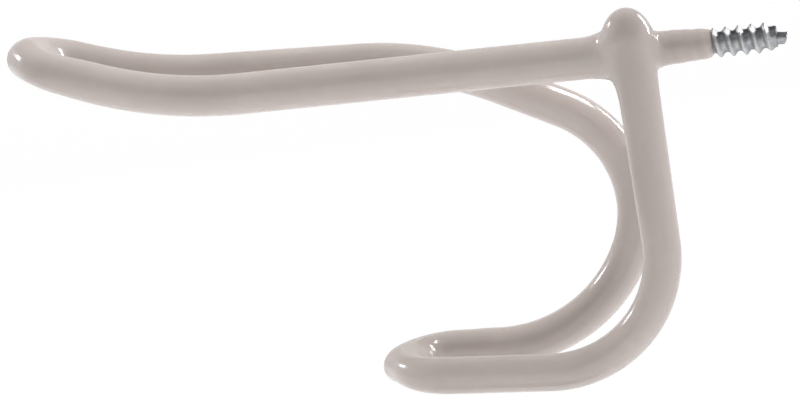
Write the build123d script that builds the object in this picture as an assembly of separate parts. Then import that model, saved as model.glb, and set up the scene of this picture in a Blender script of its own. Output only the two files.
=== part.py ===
"""Screw-in coat and hat hook: one bent steel wire, welded across its own shank and dipped in vinyl.

Millimetres and degrees. The origin is on the screw's axis, in the plane of the wall that the hook is
screwed to. +X runs into the wall along the screw, the hook reaches out along -X, and +Z is up.
The wire leaves the screw as the front strand of the hat arm, turns back along +Y at the hat tip,
drops round the throat into the coat hook, turns forward along -Y at its tip and rises to the weld.
"""
import os
from math import cos, radians, tan

from build123d import *

# Steel wire
wire_diameter = 3.76
weld_sink = 0.2  # how far the riser is pressed into the shank
end_chamfer = 0.5

# Screw end, bare steel past the wall plane
screw_diameter = 4.17
screw_length = 8.0
screw_taper_length = 1.0
screw_taper_diameter = 3.4
pilot_length = 1.7
pilot_diameter = 1.55

# Hat arm, from the weld to the end of its back strand
weld_setback = 10.8
hat_run = 57.1
hat_bend_radius = 62.0
hat_tip_angle = 19.8
hat_tip_front_run = 5.3
hat_turn_radius = 5.7
hat_tip_back_run = 0.8
hat_back_fall_angle = 2.1

# Throat and coat hook, from the shoulder of the back strand to the weld
shoulder_radius = 49.4
shoulder_angle = 24.9
throat_entry_run = 9.1
throat_upper_radius = 16.5
throat_upper_angle = 87.0
throat_lower_radius = 22.1
coat_tip_angle = 3.4
coat_back_run = 4.87
coat_front_run = 14.47
riser_bend_radius = 16.9
riser_lean_angle = 1.7

# Vinyl coat
vinyl_wall = 0.92
vinyl_end_cover = 1.6  # over the wire's end, at the top of the dome
sleeve_root_wall = 0.47
sleeve_lip_wall = 0.32
pool_radius = 1.3  # where the dip pools round the weld
pool_margin = 0.1  # plain tube left past the pool

# Directions: a bend about SIDE turns down when the wire runs into the wall
SIDE = Vector(0, 1, 0)
INTO_WALL = Vector(1, 0, 0)

# Worked out from the sizes above
wire_radius = wire_diameter / 2
vinyl_radius = wire_radius + vinyl_wall
pool_reach = vinyl_radius + pool_radius + pool_margin
weld_offset = wire_diameter - weld_sink
coat_turn_radius = hat_turn_radius + weld_offset / 2
hat_back_bend_angle = hat_tip_angle - hat_back_fall_angle
throat_turn_angle = 180 + coat_tip_angle - hat_back_fall_angle - shoulder_angle
throat_lower_angle = throat_turn_angle - throat_upper_angle
riser_bend_angle = 90 + riser_lean_angle + coat_tip_angle


class Route:
    """The centreline of a bent wire: straight runs and tangent arcs, laid end to end."""

    def __init__(self, start, heading):
        self.point = start
        self.heading = heading
        self.edges = []

    def run(self, length):
        end = self.point + self.heading * length
        self.edges.append(Edge.make_line(self.point, end))
        self.point = end

    def bend(self, radius, angle, about):
        start = self.point
        centre = start + about.cross(self.heading) * radius
        axis = Axis((0, 0, 0), about)
        middle = centre + (start - centre).rotate(axis, angle / 2)
        end = centre + (start - centre).rotate(axis, angle)
        self.edges.append(Edge.make_three_point_arc(start, middle, end))
        self.heading = self.heading.rotate(axis, angle)
        self.point = end

    def turn_back(self, radius, towards):
        self.bend(radius, 180, self.heading.cross(towards).normalized())

    def tube(self, radius):
        path = Wire(self.edges)
        section = Plane(origin=path @ 0, z_dir=path % 0) * Circle(radius)
        return sweep(section, path=path)


def hat_arm(start_x):
    """Front strand, upturned tip and the bend that levels the back strand."""
    route = Route(Vector(start_x, 0, 0), -INTO_WALL)
    route.run(start_x + weld_setback + hat_run)
    route.bend(hat_bend_radius, hat_tip_angle, SIDE)
    route.run(hat_tip_front_run)
    route.turn_back(hat_turn_radius, SIDE)
    route.run(hat_tip_back_run)
    route.bend(hat_bend_radius, hat_back_bend_angle, -SIDE)
    return route


def coat_loop(route):
    """Shoulder, throat, coat hook and the bend at the foot of the riser."""
    route.bend(shoulder_radius, shoulder_angle, SIDE)
    route.run(throat_entry_run)
    route.bend(throat_upper_radius, throat_upper_angle, SIDE)
    route.bend(throat_lower_radius, throat_lower_angle, SIDE)
    route.run(coat_back_run)
    route.turn_back(coat_turn_radius, -SIDE)
    route.run(coat_front_run)
    route.bend(riser_bend_radius, riser_bend_angle, -SIDE)


def back_strand_length(arm):
    """The length that brings the riser across the screw's axis at the weld."""
    trial = Route(Vector(0, 0, 0), arm.heading)
    coat_loop(trial)
    foot = arm.point + trial.point
    lean = tan(radians(riser_lean_angle))
    return (-weld_setback - foot.X - foot.Z * lean) / (arm.heading.X + arm.heading.Z * lean)


def coat_hook(arm, top_height):
    """Back strand, throat, coat hook and the riser, up to a height over the screw's axis."""
    route = Route(arm.point, arm.heading)
    route.run(back_strand_length(arm))
    coat_loop(route)
    route.run((top_height - route.point.Z) / cos(radians(riser_lean_angle)))
    return route


def make_screw():
    """The bare end: the thread's outer cylinder, its last tapered turn and the blunt pilot."""
    taper_end = screw_length + screw_taper_length
    pilot_end = taper_end + pilot_length
    profile = Polyline(
        (0, 0),
        (0, screw_diameter / 2),
        (screw_length, screw_diameter / 2),
        (taper_end, screw_taper_diameter / 2),
        (taper_end, pilot_diameter / 2),
        (pilot_end, pilot_diameter / 2),
        (pilot_end, 0),
        close=True,
    )
    return revolve(make_face(profile), Axis.X)


def make_steel_wire():
    """Screw, bent wire and the weld, which joins the riser to the shank."""
    arm = hat_arm(0)
    wire_top = pool_reach + vinyl_radius - vinyl_end_cover
    hook = coat_hook(arm, wire_top)
    hook_tube = hook.tube(wire_radius)
    cut_end = hook_tube.faces().sort_by_distance(hook.point)[0]
    hook_tube = chamfer(cut_end.edges(), end_chamfer)
    return arm.tube(wire_radius) + make_screw() + hook_tube


def make_vinyl_coating(steel_wire):
    """The dipped skin: even on the strands, drawn thin on the shank, pooled round the weld."""
    taper_start = -weld_setback - pool_reach
    taper_end = -weld_setback + pool_reach
    arm = hat_arm(taper_start)
    hook = coat_hook(arm, pool_reach)
    sleeve_profile = Polyline(
        (taper_start, 0),
        (taper_start, vinyl_radius),
        (taper_end, wire_radius + sleeve_root_wall),
        (0, wire_radius + sleeve_lip_wall),
        (0, 0),
        close=True,
    )
    sleeve = revolve(make_face(sleeve_profile), Axis.X)
    dome = Pos(hook.point) * Sphere(vinyl_radius)
    skin = arm.tube(vinyl_radius) + sleeve + hook.tube(vinyl_radius) + dome
    crossing = skin.edges().filter_by(GeomType.BSPLINE)
    return fillet(crossing, pool_radius) - steel_wire


def main():
    os.makedirs("parts", exist_ok=True)
    steel_wire = make_steel_wire()
    vinyl_coating = make_vinyl_coating(steel_wire)
    export_step(steel_wire, "parts/steel_wire.step")
    export_step(vinyl_coating, "parts/vinyl_coating.step")


main()
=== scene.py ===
"""Looks of the coat and hat hook: its dipped vinyl skin, its zinc-plated screw, the studio and the camera.

Geometry is worked out in millimetres in the part's own frame, and meshes are written in metres.
"""
import math

import bmesh
import bpy
import numpy as np
from mathutils import Matrix, Vector


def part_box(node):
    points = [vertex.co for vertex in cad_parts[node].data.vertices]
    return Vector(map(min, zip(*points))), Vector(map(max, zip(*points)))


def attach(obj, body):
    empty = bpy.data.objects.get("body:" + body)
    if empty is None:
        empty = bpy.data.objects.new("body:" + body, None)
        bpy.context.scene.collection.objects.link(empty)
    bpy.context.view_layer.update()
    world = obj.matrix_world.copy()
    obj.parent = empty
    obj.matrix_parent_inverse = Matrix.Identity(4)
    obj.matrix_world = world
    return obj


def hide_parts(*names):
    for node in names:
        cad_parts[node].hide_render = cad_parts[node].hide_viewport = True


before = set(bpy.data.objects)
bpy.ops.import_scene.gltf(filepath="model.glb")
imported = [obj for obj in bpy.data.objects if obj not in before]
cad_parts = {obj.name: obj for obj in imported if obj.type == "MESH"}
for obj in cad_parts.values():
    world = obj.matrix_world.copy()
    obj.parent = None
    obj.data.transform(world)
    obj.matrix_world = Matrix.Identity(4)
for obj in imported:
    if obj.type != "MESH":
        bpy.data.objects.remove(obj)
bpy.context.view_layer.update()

MM = 0.001
FULL_TURN = 2 * math.pi
SIDE = np.array([0.0, 1.0, 0.0])
UP = np.array([0.0, 0.0, 1.0])
INTO_WALL = np.array([1.0, 0.0, 0.0])

# Wire and its bends, as in the solids
wire_diameter = 3.76
weld_sink = 0.2
weld_setback = 10.8
hat_run = 57.1
hat_bend_radius = 62.0
hat_tip_angle = 19.8
hat_tip_front_run = 5.3
hat_turn_radius = 5.7
hat_tip_back_run = 0.8
hat_back_fall_angle = 2.1
shoulder_radius = 49.4
shoulder_angle = 24.9
throat_entry_run = 9.1
throat_upper_radius = 16.5
throat_upper_angle = 87.0
throat_lower_radius = 22.1
coat_tip_angle = 3.4
coat_back_run = 4.87
coat_front_run = 14.47
riser_bend_radius = 16.9
riser_lean_angle = 1.7

# Heights over the screw's axis at which the riser's skin and the wire in it end, under the dome
riser_top_height = 2.5
wire_end_height = 4.4

# Outer radius of the dipped skin along the wire
lip_radius = 1.97
lip_length = 1.5
lip_root_radius = 2.18
sleeve_radius = 2.40
front_strand_radius = 2.95
back_strand_radius = 2.89
throat_radius = 2.84
coat_hook_radius = 2.68
riser_radius = 2.68
collar_radius = 2.92
hat_tip_radius = 2.62
hat_tip_recovery = 22.8  # along the wire, from the tip's turn to the full back strand
coat_tip_radius = 2.3
sleeve_root_x = -5.6
strand_full_x = -16.5

# Flow of the dip: sag under the strands, the dome and the pools at the weld, the lip at the wall
coat_sag = 0.3
hook_sag = 0.2
sag_start_x = -5.5
sag_full_x = -9.5
hook_sag_start_z = -24.0
hook_sag_full_z = -38.0
hook_sag_end_y = 9.0
hook_sag_full_y = 0.0
dome_radius = 2.3
dome_height = 4.32
dome_lean = 0.6
dome_blend = 3.9
pool_blend = 6.6
pool_blend_wall = 3.2
pool_blend_rise = 1.4
pool_side = 4.5
pool_rise_start_z = -3.0
pool_rise_full_z = 5.0
pool_near = 6.5
pool_far = 12.0
lip_rounding = 1.0
lip_overrun = 0.12

# The dip at the tips: a nose outside each turn, and a web across its inner corner
coat_nose_radius = 1.55
coat_nose_ahead = 1.5
coat_nose_fall = 0.5
coat_nose_blend = 3.4
coat_web_reach = 4.0
coat_web_thickness = 1.6
hat_nose_radius = 1.5
hat_nose_ahead = 1.6
hat_nose_fall = 0.55
hat_nose_blend = 4.2
hat_web_reach = 4.0
hat_web_thickness = 2.0
web_edge = 3.0
web_blend = 5.4

# Screw end
thread_pitch = 1.77
thread_shift = 0.25
thread_crest_radius = 2.14
thread_root_radius = 1.48
thread_end_crest_radius = 1.75
covered_crest_radius = 1.9
covered_end_x = -0.5
bare_start_x = 0.5
thread_start_x = -6.2
thread_end_x = 9.0
thread_run_in = 1.8
thread_run_out = 0.5
thread_taper_length = 2.0
pilot_radius = 0.95
pilot_flat = 0.7
pilot_drop = 0.2
pilot_slant = 0.8
pilot_tilt_share = 0.2
pilot_fall = 0.3
pilot_end_x = 10.85

# Turns of thread that show through the sleeve
ring_height = 0.022
ring_start_x = -5.4
ring_end_x = -0.9
ring_phase = 1.1

# Thread form over one pitch, with its crest half-way: place along the pitch, and height, both as shares
thread_crest_share = 0.5
thread_form_shares = (
    (0.0, 0.0), (0.1, 0.01), (0.18, 0.07), (0.28, 0.34), (0.44, 0.89), (0.48, 0.98),
    (0.52, 0.98), (0.56, 0.89), (0.72, 0.34), (0.82, 0.07), (0.9, 0.01),
)

# Pilot form: place along the pilot, and radius, both as shares
pilot_form_shares = ((0.0, 1.0), (0.9, 1.0), (1.0, 0.8))

# Fineness of the meshes
skin_cell = 0.4
wire_step = 1.2
wire_sides = 48
least_rings = 2
weld_distance = 0.001
thread_edge_angle = 32.0

# Working of the skin's field
probe = 0.01
least_blend = 0.01
field_reach = 10.5
bound_samples = 25
settle_rounds = 3
relax_rounds = 3

# Colours of the finishes, linear
vinyl_dark = (0.480, 0.422, 0.397)
vinyl_light = (0.587, 0.524, 0.494)
zinc_dark = (0.36, 0.385, 0.41)
zinc_edge = (0.5, 0.5, 0.52)
zinc_light = (0.80, 0.79, 0.79)
dark_card_color = (0.1, 0.1, 0.1)
grey_card_color = (0.45, 0.45, 0.45)
floor_color = (0.92, 0.92, 0.92)
WHITE = (1.0, 1.0, 1.0)

# Noise in the finishes, with scales for millimetres
noise_span = (0.3, 0.7)  # where most of a noise's values lie
noise_detail = 2.0
bump_strength = 1.0

# Finish of the vinyl, with tones as shares of the way from dark to light
vinyl_cloud_scale = 0.11
vinyl_cloud_detail = 3.0
vinyl_cloud_tones = (0.32, 0.68)
vinyl_ring_tones = (0.0, 0.5)
# Darker towards the wall end, from the full strands to the sleeve
vinyl_wall_end_tones = (0.0, -0.8)
vinyl_flow_scale = 0.7
vinyl_flow_tones = (-0.06, 0.06)
vinyl_speck_scale = 4.5
vinyl_speck_span = (0.70, 0.78)
vinyl_speck_tones = (0.0, -0.06)
vinyl_roughness = (0.13, 0.20)
vinyl_wave_scale = 0.25
vinyl_wave_height = 0.05
vinyl_peel_scale = 0.9
vinyl_peel_height = 0.008
vinyl_subsurface_weight = 0.2
vinyl_subsurface_radius = (1.0, 0.7, 0.55)
vinyl_subsurface_depth = 0.8
vinyl_ior = 1.52

# Finish of the zinc plate
# Painted shade: the thread's roots are darker than its crests
zinc_root_shade_tones = (0.25, 0.9)
zinc_cloud_scale = 1.1
zinc_cloud_detail = 4.0
zinc_cloud_tones = (-0.3, 0.3)
zinc_grain_scale = 5.0
zinc_grain_detail = 3.0
zinc_grain_height = 0.05
zinc_roughness = (0.34, 0.52)
zinc_metallic = 1.0

# Camera
camera_azimuth = 10.43
camera_elevation = 11.2
camera_roll = -7.57
camera_distance = 500.0
camera_aim = np.array([-45.1, -9.8, -16.2])
camera_lens = 160.71
sensor_width = 36.0

# Studio, about the middle of the hook. Levels are of a white background, which is at full level
studio_centre = np.array([-48.0, 2.0, -16.0])
accent_centre = np.array([-13.1, 30.9, 10.5])
coat_hook_centre = np.array([-37.0, -6.0, -42.0])
floor_drop = 130.0
floor_width = 18000.0
floor_glow = 0.98
floor_gloss = 0.0
matt_roughness = 1.0
full_level = 1.0
room_fill = 1.03
scrim_span_y = (100.0, 900.0)
scrim_levels = (0.12, 1.3)
back_wall_level = 0.62
back_wall_shade = 0.25

# Lamps: place round a centre and size in millimetres and degrees, power in watts. One that doesn't light
# the hook is seen in it as a highlight alone, and one that isn't mirrored only lights it
lamps = {
    "right_strip": dict(
        azimuth=126, elevation=18, distance=700, roll=-24, width=140, height=440, power=3.8, lights=False,
    ),
    "shoulder_accent": dict(
        azimuth=36, elevation=33, distance=10, roll=-41.6, width=12, height=32, power=0.024, lights=False,
        centre=accent_centre,
    ),
    "left_box": dict(azimuth=-112, elevation=22, distance=700, width=120, height=95, power=1.0),
    "top_box": dict(
        azimuth=180, elevation=72, distance=1000, width=1800, height=1100, power=9.0, mirrored=False,
    ),
    "right_panel": dict(
        azimuth=95, elevation=10, distance=900, width=900, height=900, power=2.2, mirrored=False,
    ),
    "low_panel": dict(
        azimuth=0, elevation=-42, distance=150, width=320, height=80, power=0.066, mirrored=False,
    ),
}

# Cards, placed and sized as the lamps are. One that doesn't shade the hook is only mirrored in it
cards = {
    "front_card": dict(azimuth=10, elevation=33, distance=800, width=2000, height=860),
    "left_card": dict(azimuth=-72, elevation=0, distance=420, width=450, height=700),
    "low_card": dict(azimuth=0, elevation=-70, distance=25, width=42, height=13, centre=coat_hook_centre),
    "scrim": dict(azimuth=0, elevation=90, distance=720, width=3000, height=3000, shades=False),
    "back_wall": dict(azimuth=190, elevation=0, distance=760, width=2400, height=760),
}


class Straight:
    """A straight stretch of the wire's centreline."""

    def __init__(self, start, heading, length):
        self.start, self.heading, self.length = start, heading, length

    def at(self, along):
        return self.start + along[:, None] * self.heading

    def nearest(self, points):
        along = np.clip((points - self.start) @ self.heading, 0, self.length)
        return np.linalg.norm(points - self.at(along), axis=1), along


class Bend:
    """A circular stretch of the wire's centreline, turning right-handed about an axis."""

    def __init__(self, start, heading, radius, angle, about):
        self.centre = start + np.cross(about, heading) * radius
        self.out = (start - self.centre) / radius
        self.heading, self.radius, self.angle = heading, radius, angle
        self.length = radius * angle

    def at(self, along):
        turn = along[:, None] / self.radius
        return self.centre + self.radius * (np.cos(turn) * self.out + np.sin(turn) * self.heading)

    def nearest(self, points):
        offset = points - self.centre
        half = self.angle / 2
        turn = np.arctan2(offset @ self.heading, offset @ self.out) - half
        turn = np.clip(np.mod(turn + np.pi, FULL_TURN) - np.pi + half, 0, self.angle)
        along = turn * self.radius
        return np.linalg.norm(points - self.at(along), axis=1), along


class Route:
    """Straight and circular stretches, laid end to end. The station is the length of wire from the wall."""

    def __init__(self, start, heading, station):
        self.point, self.heading, self.station = start, heading, station
        self.stretches = []
        self.marks = {}

    def add(self, stretch):
        end = np.array([stretch.length])
        spread = stretch.at(np.linspace(0, stretch.length, bound_samples))
        stretch.station = self.station
        stretch.low, stretch.high = spread.min(axis=0), spread.max(axis=0)
        self.stretches.append(stretch)
        self.point = stretch.at(end)[0]
        self.station += stretch.length

    def run(self, length):
        self.add(Straight(self.point, self.heading, length))

    def bend(self, radius, angle, about):
        turn = math.radians(angle)
        self.add(Bend(self.point, self.heading, radius, turn, about))
        across = np.cross(about, self.heading)
        self.heading = math.cos(turn) * self.heading + math.sin(turn) * across

    def turn_back(self, radius, towards):
        self.bend(radius, 180, np.cross(self.heading, towards))

    def mark(self, name):
        self.marks[name] = self.station

    def stretch_at(self, name):
        """The stretch that starts at a mark."""
        return next(stretch for stretch in self.stretches if stretch.station == self.marks[name])


def lay_hat_arm(route):
    """Front strand, upturned tip and the bend that levels the back strand."""
    route.run(route.point[0] + weld_setback + hat_run)
    route.bend(hat_bend_radius, hat_tip_angle, SIDE)
    route.run(hat_tip_front_run)
    route.mark("hat_tip")
    route.turn_back(hat_turn_radius, SIDE)
    route.run(hat_tip_back_run)
    route.bend(hat_bend_radius, hat_tip_angle - hat_back_fall_angle, -SIDE)


def lay_coat_loop(route):
    """Shoulder, throat, coat hook and the bend at the foot of the riser."""
    throat_angle = 180 + coat_tip_angle - hat_back_fall_angle - shoulder_angle
    coat_turn_radius = hat_turn_radius + (wire_diameter - weld_sink) / 2
    route.mark("shoulder")
    route.bend(shoulder_radius, shoulder_angle, SIDE)
    route.run(throat_entry_run)
    route.mark("throat")
    route.bend(throat_upper_radius, throat_upper_angle, SIDE)
    route.bend(throat_lower_radius, throat_angle - throat_upper_angle, SIDE)
    route.mark("coat_hook")
    route.run(coat_back_run)
    route.mark("coat_turn")
    route.turn_back(coat_turn_radius, -SIDE)
    route.mark("coat_front")
    route.marks["coat_tip"] = (route.marks["coat_turn"] + route.marks["coat_front"]) / 2
    route.run(coat_front_run)
    route.mark("riser_foot")
    route.bend(riser_bend_radius, 90 + riser_lean_angle + coat_tip_angle, -SIDE)


def lay_wire(start_x, top_height):
    """The whole centreline, from the screw round both hooks to the end over the weld."""
    route = Route(start_x * INTO_WALL, -INTO_WALL, -start_x)
    lay_hat_arm(route)
    trial = Route(np.zeros(3), route.heading, 0)
    lay_coat_loop(trial)
    foot = route.point + trial.point
    lean = math.tan(math.radians(riser_lean_angle))
    closing = -weld_setback - foot[0] - foot[2] * lean
    route.run(closing / (route.heading[0] + route.heading[2] * lean))
    lay_coat_loop(route)
    route.run((top_height - route.point[2]) / route.heading[2])
    route.mark("top")
    return route


def nearest_on(stretches, points):
    """Distance of each point from the centreline, as far as the field reaches, and its station there."""
    distance = np.full(len(points), field_reach)
    station = np.zeros(len(points))
    for stretch in stretches:
        inside = (points > stretch.low - field_reach) & (points < stretch.high + field_reach)
        near = np.flatnonzero(inside.all(axis=1))
        gap, along = stretch.nearest(points[near])
        closer = gap < distance[near]
        distance[near[closer]] = gap[closer]
        station[near[closer]] = stretch.station + along[closer]
    return distance, station


def smooth_step(value, start, end):
    share = np.clip((value - start) / (end - start), 0, 1)
    return share * share * (3 - 2 * share)


def eased(value, stops):
    """Levels at a row of places, joined by smooth steps."""
    result = np.full(len(value), stops[0][1])
    for (start, low), (end, high) in zip(stops, stops[1:]):
        result += (high - low) * smooth_step(value, start, end)
    return result


def smooth_union(a, b, blend):
    """Union of two fields with a soft cubic fillet, which is deepest where both are equally near."""
    share = np.maximum(1 - np.abs(a - b) / np.maximum(blend, least_blend), 0)
    return np.minimum(a, b) - share ** 3 * blend / 6


class Tip:
    """Where the dip ran down to a turn of the wire and set: a blunt nose, and a web inside the turn."""

    def __init__(self, turn, sag, nose_radius, nose_ahead, nose_fall, nose_blend, web_reach, web_thickness):
        self.apex = turn.centre + turn.radius * turn.heading - sag * UP
        self.nose = self.apex + nose_ahead * turn.heading - nose_fall * UP
        self.web = self.apex - web_reach / 2 * turn.heading
        self.across = np.cross(turn.out, turn.heading)
        self.nose_radius, self.nose_blend = nose_radius, nose_blend
        self.web_reach, self.web_thickness = web_reach, web_thickness

    def flow_over(self, skin, points):
        nose = np.linalg.norm(points - self.nose, axis=1) - self.nose_radius
        skin = smooth_union(skin, nose, self.nose_blend)
        sheet = np.abs((points - self.apex) @ self.across) - self.web_thickness / 2
        patch = np.linalg.norm(points - self.web, axis=1) - self.web_reach / 2
        web = -smooth_union(-sheet, -patch, web_edge)
        return smooth_union(skin, web, web_blend)


class Skin:
    """Signed distance of the dipped vinyl: below zero inside it."""

    def __init__(self):
        route = lay_wire(lip_overrun + 2 * lip_rounding, riser_top_height)
        self.arm = route.stretches[:-2]
        self.riser = route.stretches[-2:]
        marks = route.marks
        self.radius_stops = (
            (0, lip_radius),
            (lip_length, lip_root_radius),
            (-sleeve_root_x, sleeve_radius),
            (-strand_full_x, front_strand_radius),
            (marks["hat_tip"] - hat_turn_radius, front_strand_radius),
            (marks["hat_tip"] + hat_turn_radius, hat_tip_radius),
            (marks["hat_tip"] + hat_tip_recovery, back_strand_radius),
            (marks["shoulder"], back_strand_radius),
            (marks["throat"], throat_radius),
            (marks["coat_hook"], throat_radius),
            (marks["coat_turn"], coat_hook_radius),
            (marks["coat_tip"], coat_tip_radius),
            (marks["coat_front"], coat_hook_radius),
            (marks["riser_foot"], coat_hook_radius),
            (marks["riser_foot"] + riser_bend_radius, riser_radius),
            (marks["top"], collar_radius),
        )
        self.weld = np.array([-weld_setback, (weld_sink - wire_diameter) / 2, -coat_sag])
        self.dome = np.array([-weld_setback - dome_lean, weld_sink - wire_diameter, dome_height])
        hat_tip = Tip(
            route.stretch_at("hat_tip"), sag=coat_sag,
            nose_radius=hat_nose_radius, nose_ahead=hat_nose_ahead, nose_fall=hat_nose_fall,
            nose_blend=hat_nose_blend, web_reach=hat_web_reach, web_thickness=hat_web_thickness,
        )
        coat_tip = Tip(
            route.stretch_at("coat_turn"), sag=coat_sag + hook_sag / 2,
            nose_radius=coat_nose_radius, nose_ahead=coat_nose_ahead, nose_fall=coat_nose_fall,
            nose_blend=coat_nose_blend, web_reach=coat_web_reach, web_thickness=coat_web_thickness,
        )
        self.tips = (hat_tip, coat_tip)

    def rings(self, points):
        """Turns of thread that show through the thin sleeve."""
        phase = points[:, 0] / thread_pitch * FULL_TURN - np.arctan2(points[:, 2], points[:, 1])
        fade = smooth_step(points[:, 0], ring_start_x - thread_pitch, ring_start_x)
        fade *= smooth_step(points[:, 0], ring_end_x + thread_pitch / 2, ring_end_x)
        return ring_height * fade * np.sin(phase + np.pi)

    def pool(self, points):
        """How widely the dip pools between the shank and the riser, near the weld."""
        wall_side = smooth_step(points[:, 0], -weld_setback - pool_side, -weld_setback + pool_side)
        blend = pool_blend + (pool_blend_wall - pool_blend) * wall_side
        blend += pool_blend_rise * smooth_step(points[:, 2], pool_rise_start_z, pool_rise_full_z)
        return blend * smooth_step(np.linalg.norm(points - self.weld, axis=1), pool_far, pool_near)

    def __call__(self, points):
        hook = hook_sag * smooth_step(points[:, 2], hook_sag_start_z, hook_sag_full_z)
        hook *= smooth_step(points[:, 1], hook_sag_end_y, hook_sag_full_y)
        sag = coat_sag * smooth_step(points[:, 0], sag_start_x, sag_full_x) + hook
        distance, station = nearest_on(self.arm, points + sag[:, None] * UP)
        arm = distance - eased(station, self.radius_stops)
        arm -= np.where(station < -sleeve_root_x + thread_pitch, self.rings(points), 0)
        distance, station = nearest_on(self.riser, points + (coat_sag + hook)[:, None] * UP)
        riser = distance - eased(station, self.radius_stops)
        dome = np.linalg.norm(points - self.dome, axis=1) - dome_radius
        riser = smooth_union(riser, dome, dome_blend)
        skin = smooth_union(arm, riser, self.pool(points))
        for tip in self.tips:
            skin = tip.flow_over(skin, points)
        return -smooth_union(-skin, lip_overrun - points[:, 0], lip_rounding)


def slope(field, points):
    """Direction in which the field grows fastest, as long as its rate of growth."""
    steps = probe * np.eye(3)
    slopes = [(field(points + step) - field(points - step)) / (2 * probe) for step in steps]
    return np.stack(slopes, axis=1)


def settle(field, points, rounds):
    """Points moved onto the surface where the field is zero."""
    for _ in range(rounds):
        grade = slope(field, points)
        points = points - (field(points) / (grade * grade).sum(axis=1))[:, None] * grade
    return points


def cross_cells(field, low, high, cell):
    """Grid cells that the surface crosses: their middles, and a quad round each grid edge that it cuts."""
    axes = [np.arange(a, b + cell, cell) for a, b in zip(low, high)]
    grid = np.stack(np.meshgrid(*axes, indexing="ij"), axis=-1)
    inside = (field(grid.reshape(-1, 3)) < 0).reshape(grid.shape[:3])
    corners = [inside[i:i - 1 or None, j:j - 1 or None, k:k - 1 or None]
               for i in (0, 1) for j in (0, 1) for k in (0, 1)]
    total = np.sum(corners, axis=0)
    crossed = (total > 0) & (total < len(corners))
    index = np.full(crossed.shape, -1)
    index[crossed] = np.arange(crossed.sum())
    middles = grid[:-1, :-1, :-1][crossed] + cell / 2
    quads = []
    for axis in range(3):
        order = (axis, (axis + 1) % 3, (axis + 2) % 3)
        sides, cells = inside.transpose(order), index.transpose(order)
        here, there = sides[:-1, 1:-1, 1:-1], sides[1:, 1:-1, 1:-1]
        for cut, winding in ((here & ~there, 1), (there & ~here, -1)):
            i, j, k = np.nonzero(cut)
            ring = [cells[i, j, k], cells[i, j + 1, k], cells[i, j + 1, k + 1], cells[i, j, k + 1]]
            quads.append(np.stack(ring, axis=1)[:, ::winding])
    return middles, np.concatenate(quads)


def relax(points, quads):
    """Each point moved to the middle of its neighbours."""
    total, count = np.zeros_like(points), np.zeros(len(points))
    for a, b in ((0, 1), (1, 2), (2, 3), (3, 0)):
        for here, there in ((quads[:, a], quads[:, b]), (quads[:, b], quads[:, a])):
            np.add.at(total, here, points[there])
            np.add.at(count, here, 1)
    return total / count[:, None]


def add_object(name, data):
    added = bpy.data.objects.new(name, data)
    bpy.context.scene.collection.objects.link(added)
    return added


def make_mesh(name, points, faces, normals=None):
    mesh = bpy.data.meshes.new(name)
    mesh.from_pydata((np.asarray(points) * MM).tolist(), [], [list(map(int, face)) for face in faces])
    mesh.validate()
    mesh.polygons.foreach_set("use_smooth", [True] * len(mesh.polygons))
    if normals is not None:
        mesh.normals_split_custom_set_from_vertices(normals.tolist())
    return add_object(name, mesh)


def make_vinyl_skin():
    """The skin's mesh: crossed grid cells, settled onto the surface and evened out on it."""
    field = Skin()
    coat_low, coat_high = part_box("vinyl_coating")
    margin = 2 * skin_cell + coat_sag + hook_sag
    low = np.array(coat_low) / MM - margin
    high = np.array(coat_high) / MM + margin
    points, quads = cross_cells(field, low, high, skin_cell)
    points = settle(field, points, settle_rounds)
    for _ in range(relax_rounds):
        points = settle(field, relax(points, quads), rounds=1)
    grade = slope(field, points)
    normals = grade / np.linalg.norm(grade, axis=1)[:, None]
    return make_mesh("vinyl_skin", points, quads, normals)


# Turns round the wire, from +Y on the shank towards +Z
wire_turns = np.linspace(0, FULL_TURN, wire_sides, endpoint=False)


def rows_to_faces(rows):
    """Quads between rows of points that each close in a ring, and a cap at both ends."""
    faces = []
    for row in range(rows - 1):
        for side in range(wire_sides):
            a = row * wire_sides + side
            b = row * wire_sides + (side + 1) % wire_sides
            faces.append((a, b, b + wire_sides, a + wire_sides))
    faces.append(tuple(reversed(range(wire_sides))))
    faces.append(tuple(range((rows - 1) * wire_sides, rows * wire_sides)))
    return faces


def bent_wire_rings():
    """Rings of points along the plain wire, from the end at the weld to the start of the thread."""
    route = lay_wire(thread_start_x, wire_end_height)
    centres = []
    for stretch in route.stretches:
        count = max(least_rings, math.ceil(stretch.length / wire_step))
        centres.append(stretch.at(np.linspace(0, stretch.length, count, endpoint=False)))
    centres = np.concatenate(centres + [route.point[None]])
    ahead = np.gradient(centres, axis=0)
    ahead /= np.linalg.norm(ahead, axis=1)[:, None]
    across = SIDE
    rings = []
    for centre, heading in zip(centres, ahead):
        across = across - (across @ heading) * heading
        across = across / np.linalg.norm(across)
        upward = np.cross(across, heading)
        spokes = np.cos(wire_turns)[:, None] * across - np.sin(wire_turns)[:, None] * upward
        rings.append(centre + wire_diameter / 2 * spokes)
    return rings[::-1]


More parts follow.
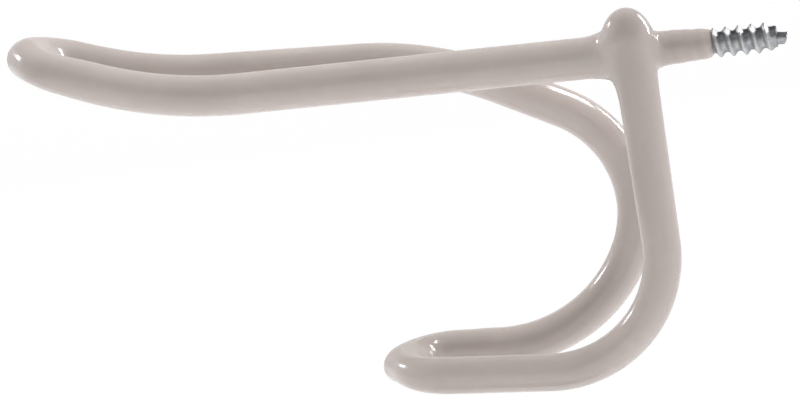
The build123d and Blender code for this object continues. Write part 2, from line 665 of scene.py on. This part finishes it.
def thread_rings():
    """The rolled thread. Rings follow the helix, so that each crest is one clean line."""
    lead = (wire_turns - np.pi / 2) / FULL_TURN - thread_crest_share
    first = math.floor(thread_start_x / thread_pitch) - 1
    last = math.ceil(thread_end_x / thread_pitch) + 1
    rings = []
    for turn in range(first, last):
        for place, height in thread_form_shares:
            x = (turn + place + lead) * thread_pitch + thread_shift
            x = np.clip(x, thread_start_x, thread_end_x)
            run_in = smooth_step(x, thread_start_x, thread_start_x + thread_run_in)
            run_out = smooth_step(x, thread_end_x, thread_end_x - thread_run_out)
            root = wire_diameter / 2 + (thread_root_radius - wire_diameter / 2) * run_in
            bare = smooth_step(x, covered_end_x, bare_start_x)
            taper = smooth_step(x, thread_end_x - thread_taper_length, thread_end_x)
            crest = covered_crest_radius + (thread_crest_radius - covered_crest_radius) * bare
            crest += (thread_end_crest_radius - thread_crest_radius) * taper
            radius = root + (crest - root) * height * run_in * run_out
            rings.append(np.stack([x, radius * np.cos(wire_turns), radius * np.sin(wire_turns)], axis=1))
    return rings


def pilot_rings():
    """The blunt pilot, pressed flat on top and a little below the axis when the thread was rolled."""
    rings = []
    for place, share in pilot_form_shares:
        radius = pilot_radius * share
        y = radius * np.cos(wire_turns)
        flat = pilot_flat * share - pilot_fall * place + pilot_tilt_share * y
        z = np.minimum(radius * np.sin(wire_turns), flat)
        slant = pilot_slant * (pilot_radius - z) / (2 * pilot_radius)
        x = thread_end_x + (pilot_end_x - slant - thread_end_x) * place
        rings.append(np.stack([x, y, z - pilot_drop], axis=1))
    return rings


def make_steel_wire():
    """Bent wire, thread and pilot as one closed mesh, with the thread's edges kept sharp."""
    rings = bent_wire_rings() + thread_rings() + pilot_rings()
    piece = make_mesh("zinc_steel_wire", np.concatenate(rings), rows_to_faces(len(rings)))
    shape = bmesh.new()
    shape.from_mesh(piece.data)
    bmesh.ops.remove_doubles(shape, verts=shape.verts, dist=weld_distance * MM)
    bmesh.ops.dissolve_degenerate(shape, edges=shape.edges, dist=weld_distance * MM)
    bmesh.ops.recalc_face_normals(shape, faces=shape.faces)
    shape.to_mesh(piece.data)
    shape.free()
    piece.data.set_sharp_from_angle(angle=math.radians(thread_edge_angle))
    return piece


def rgba(color):
    return (*color, 1.0)


def set_inputs(tree, node, inputs):
    """Constants are set on the node's own sockets, and other nodes' outputs are linked to them."""
    for name, value in inputs.items():
        if isinstance(value, bpy.types.NodeSocket):
            tree.links.new(value, node.inputs[name])
        else:
            node.inputs[name].default_value = value


def add_node(tree, kind, inputs, **settings):
    node = tree.nodes.new(kind)
    for name, value in settings.items():
        setattr(node, name, value)
    set_inputs(tree, node, inputs)
    return node


def math_node(tree, operation, *values):
    return add_node(tree, "ShaderNodeMath", dict(enumerate(values)), operation=operation).outputs[0]


def total(tree, first, *others):
    for other in others:
        first = math_node(tree, "ADD", first, other)
    return first


def noise(tree, place, scale, detail=noise_detail):
    inputs = {"Vector": place, "Scale": scale, "Detail": detail}
    return add_node(tree, "ShaderNodeTexNoise", inputs).outputs["Fac"]


def rescale(tree, value, span, levels):
    """The value's place in a span, carried over to between two levels."""
    inputs = {
        "Value": value,
        "From Min": span[0],
        "From Max": span[1],
        "To Min": levels[0],
        "To Max": levels[1],
    }
    return add_node(tree, "ShaderNodeMapRange", inputs).outputs["Result"]


def two_tones(tree, share, dark, light):
    ramp = add_node(tree, "ShaderNodeValToRGB", {"Fac": share})
    ramp.color_ramp.elements[0].color = rgba(dark)
    ramp.color_ramp.elements[1].color = rgba(light)
    return ramp.outputs["Color"]


def bump(tree, height, distance, under=None):
    inputs = {"Height": height, "Distance": distance * MM, "Strength": bump_strength}
    if under:
        inputs["Normal"] = under
    return add_node(tree, "ShaderNodeBump", inputs).outputs["Normal"]


def emission(tree, level):
    return add_node(tree, "ShaderNodeEmission", {"Color": rgba(WHITE), "Strength": level}).outputs[0]


def new_material(name):
    material = bpy.data.materials.new(name)
    material.use_nodes = True
    tree = material.node_tree
    return material, tree, tree.nodes["Principled BSDF"]


def show(tree, surface):
    set_inputs(tree, tree.nodes["Material Output"], {"Surface": surface})


def millimetres(tree):
    """Place on the piece, in its own frame, in millimetres: X, Y and Z, and the three as one vector."""
    place = add_node(tree, "ShaderNodeTexCoord", {}).outputs["Object"]
    scaled = add_node(tree, "ShaderNodeVectorMath", {0: place, "Scale": 1 / MM}, operation="SCALE").outputs[0]
    return *add_node(tree, "ShaderNodeSeparateXYZ", {0: scaled}).outputs, scaled


def seen_as_background(tree):
    """One for rays from the camera and for reflected or refracted rays, else zero."""
    path = add_node(tree, "ShaderNodeLightPath", {}).outputs
    direct = math_node(tree, "MAXIMUM", path["Is Camera Ray"], path["Is Glossy Ray"])
    return math_node(tree, "MAXIMUM", direct, path["Is Transmission Ray"])


def background_level(tree, seen, lighting):
    """One level where it is seen, straight or mirrored, and another for the light that it sheds."""
    unseen_to_seen = (0.0, 1.0)
    return rescale(tree, seen_as_background(tree), unseen_to_seen, (lighting, seen))


def vinyl_material():
    """Dipped vinyl: glossy, a little cloudy, with fine orange peel and the thread's turns faintly showing."""
    material, tree, shader = new_material("dipped_vinyl")
    x, y, z, place = millimetres(tree)
    cloud = noise(tree, place, vinyl_cloud_scale, vinyl_cloud_detail)
    flow = noise(tree, place, vinyl_flow_scale)
    speck = noise(tree, place, vinyl_speck_scale)
    turn = math_node(tree, "ARCTAN2", z, y)
    phase = math_node(tree, "SUBTRACT", math_node(tree, "MULTIPLY", x, FULL_TURN / thread_pitch), turn)
    ring = math_node(tree, "SINE", math_node(tree, "ADD", phase, ring_phase))
    ring_depth = rescale(tree, x, (ring_start_x, ring_end_x), vinyl_ring_tones)
    tone = total(
        tree,
        rescale(tree, cloud, noise_span, vinyl_cloud_tones),
        math_node(tree, "MULTIPLY", ring, ring_depth),
        # darker towards the wall end, from the full strands to the sleeve
        rescale(tree, x, (strand_full_x, sleeve_root_x), vinyl_wall_end_tones),
        rescale(tree, flow, noise_span, vinyl_flow_tones),
        rescale(tree, speck, vinyl_speck_span, vinyl_speck_tones),
    )
    wave = bump(tree, noise(tree, place, vinyl_wave_scale), vinyl_wave_height)
    peel = bump(tree, noise(tree, place, vinyl_peel_scale), vinyl_peel_height, under=wave)
    set_inputs(tree, shader, {
        "Base Color": two_tones(tree, tone, vinyl_dark, vinyl_light),
        "Roughness": rescale(tree, flow, noise_span, vinyl_roughness),
        "Normal": peel,
        "Subsurface Weight": vinyl_subsurface_weight,
        "Subsurface Radius": vinyl_subsurface_radius,
        "Subsurface Scale": vinyl_subsurface_depth * MM,
        "IOR": vinyl_ior,
    })
    return material


def zinc_material():
    """Bright zinc plate: bluish and cloudy, with painted shade that darkens the thread's roots against its
    crests.
    """
    material, tree, shader = new_material("zinc_plate")
    _, y, z, place = millimetres(tree)
    squares = math_node(tree, "ADD", math_node(tree, "MULTIPLY", y, y), math_node(tree, "MULTIPLY", z, z))
    radius = math_node(tree, "SQRT", squares)
    cloud = noise(tree, place, zinc_cloud_scale, zinc_cloud_detail)
    grain = noise(tree, place, zinc_grain_scale, zinc_grain_detail)
    tone = total(
        tree,
        # painted shade, darker towards the thread's roots
        rescale(tree, radius, (thread_root_radius, thread_crest_radius), zinc_root_shade_tones),
        rescale(tree, cloud, noise_span, zinc_cloud_tones),
    )
    set_inputs(tree, shader, {
        "Base Color": two_tones(tree, tone, zinc_dark, zinc_light),
        "Roughness": rescale(tree, grain, noise_span, zinc_roughness),
        "Normal": bump(tree, grain, zinc_grain_height),
        "Metallic": zinc_metallic,
        "Specular Tint": rgba(zinc_edge),
    })
    return material


def card_material(name, color):
    material, tree, shader = new_material(name)
    set_inputs(tree, shader, {"Base Color": rgba(color), "Roughness": matt_roughness})
    return material


def scrim_material():
    """A scrim over the hook: bright at the back, fading to dark towards the camera."""
    material, tree, _ = new_material("graded_scrim")
    _, y, _, _ = millimetres(tree)
    show(tree, emission(tree, rescale(tree, y, scrim_span_y, scrim_levels)))
    return material


def back_wall_material():
    """A grey wall behind the hook, which its rims mirror, and which keeps the room's light off its back."""
    material, tree, _ = new_material("grey_wall")
    show(tree, emission(tree, background_level(tree, seen=back_wall_level, lighting=back_wall_shade)))
    return material


def floor_material():
    """Pale floor: white as the background, with a little shadow left on it, and clear from below."""
    material, tree, shader = new_material("floor")
    inputs = {"Base Color": rgba(floor_color), "Roughness": matt_roughness, "Specular IOR Level": floor_gloss}
    set_inputs(tree, shader, inputs)
    glow = emission(tree, full_level)
    share = math_node(tree, "MULTIPLY", seen_as_background(tree), floor_glow)
    top = add_node(tree, "ShaderNodeMixShader", {0: share, 1: shader.outputs[0], 2: glow}).outputs[0]
    clear = add_node(tree, "ShaderNodeBsdfTransparent", {}).outputs[0]
    below = add_node(tree, "ShaderNodeNewGeometry", {}).outputs["Backfacing"]
    show(tree, add_node(tree, "ShaderNodeMixShader", {0: below, 1: top, 2: clear}).outputs[0])
    return material


def direction(azimuth, elevation):
    """Unit vector away from a centre. Azimuth 0 is in front of the hook, 90 towards the wall."""
    turn, lift = math.radians(azimuth), math.radians(elevation)
    return Vector((math.sin(turn) * math.cos(lift), -math.cos(turn) * math.cos(lift), math.sin(lift)))


def facing(azimuth, elevation, distance, centre, roll=0.0):
    """Place at a distance from a centre, looking back at it."""
    back = direction(azimuth, elevation)
    look = (-back).to_track_quat("-Z", "Y").to_matrix().to_4x4()
    place = Matrix.Translation((Vector(centre) + back * distance) * MM)
    return place @ look @ Matrix.Rotation(math.radians(roll), 4, "Z")


def add_camera():
    data = bpy.data.cameras.new("camera")
    data.lens = camera_lens
    data.sensor_width = sensor_width
    camera = add_object("camera", data)
    camera.matrix_world = facing(camera_azimuth, camera_elevation, camera_distance, camera_aim, camera_roll)
    bpy.context.scene.camera = camera


def add_lamp(name, azimuth, elevation, distance, width, height, power,
             roll=0.0, mirrored=True, lights=True, centre=studio_centre):
    """An area lamp that the camera doesn't see. It lights the hook, is mirrored in it, or both."""
    data = bpy.data.lights.new(name, "AREA")
    data.shape = "RECTANGLE"
    data.size = width * MM
    data.size_y = height * MM
    data.energy = power
    lamp = add_object(name, data)
    lamp.matrix_world = facing(azimuth, elevation, distance, centre, roll)
    lamp.visible_camera = False
    lamp.visible_glossy = mirrored
    lamp.visible_diffuse = lights


def add_rectangle(name, width, height, material):
    x, y = width / 2 * MM, height / 2 * MM
    mesh = bpy.data.meshes.new(name)
    mesh.from_pydata([(-x, -y, 0), (x, -y, 0), (x, y, 0), (-x, y, 0)], [], [(0, 1, 2, 3)])
    mesh.materials.append(material)
    return add_object(name, mesh)


def add_card(name, material, azimuth, elevation, distance, width, height, shades=True, centre=studio_centre):
    """A card that the camera doesn't see. It is mirrored in the hook, and may shade it too."""
    card = add_rectangle(name, width, height, material)
    card.matrix_world = facing(azimuth, elevation, distance, centre)
    card.visible_camera = False
    card.visible_diffuse = shades
    card.visible_shadow = shades


def add_floor():
    floor = add_rectangle("floor", floor_width, floor_width, floor_material())
    floor.matrix_world = Matrix.Translation((studio_centre[2] - floor_drop) * MM * Vector(UP))


def set_world():
    """A white room: full white as the background, and a plain fill on the hook."""
    world = bpy.data.worlds.new("studio")
    world.use_nodes = True
    tree = world.node_tree
    strength = background_level(tree, seen=full_level, lighting=room_fill)
    set_inputs(tree, tree.nodes["Background"], {"Color": rgba(WHITE), "Strength": strength})
    bpy.context.scene.world = world


def add_studio():
    add_floor()
    for name, plan in lamps.items():
        add_lamp(name, **plan)
    dark_card = card_material("dark_card", dark_card_color)
    card_finishes = {
        "front_card": dark_card,
        "left_card": card_material("grey_card", grey_card_color),
        "low_card": dark_card,
        "scrim": scrim_material(),
        "back_wall": back_wall_material(),
    }
    for name, plan in cards.items():
        add_card(name, card_finishes[name], **plan)
    set_world()


skin = make_vinyl_skin()
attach(skin, "root")
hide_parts("vinyl_coating")
skin.data.materials.append(vinyl_material())
steel = make_steel_wire()
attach(steel, "root")
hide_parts("steel_wire")
steel.data.materials.append(zinc_material())
add_studio()
add_camera()
bpy.context.scene.view_settings.view_transform = "Standard"
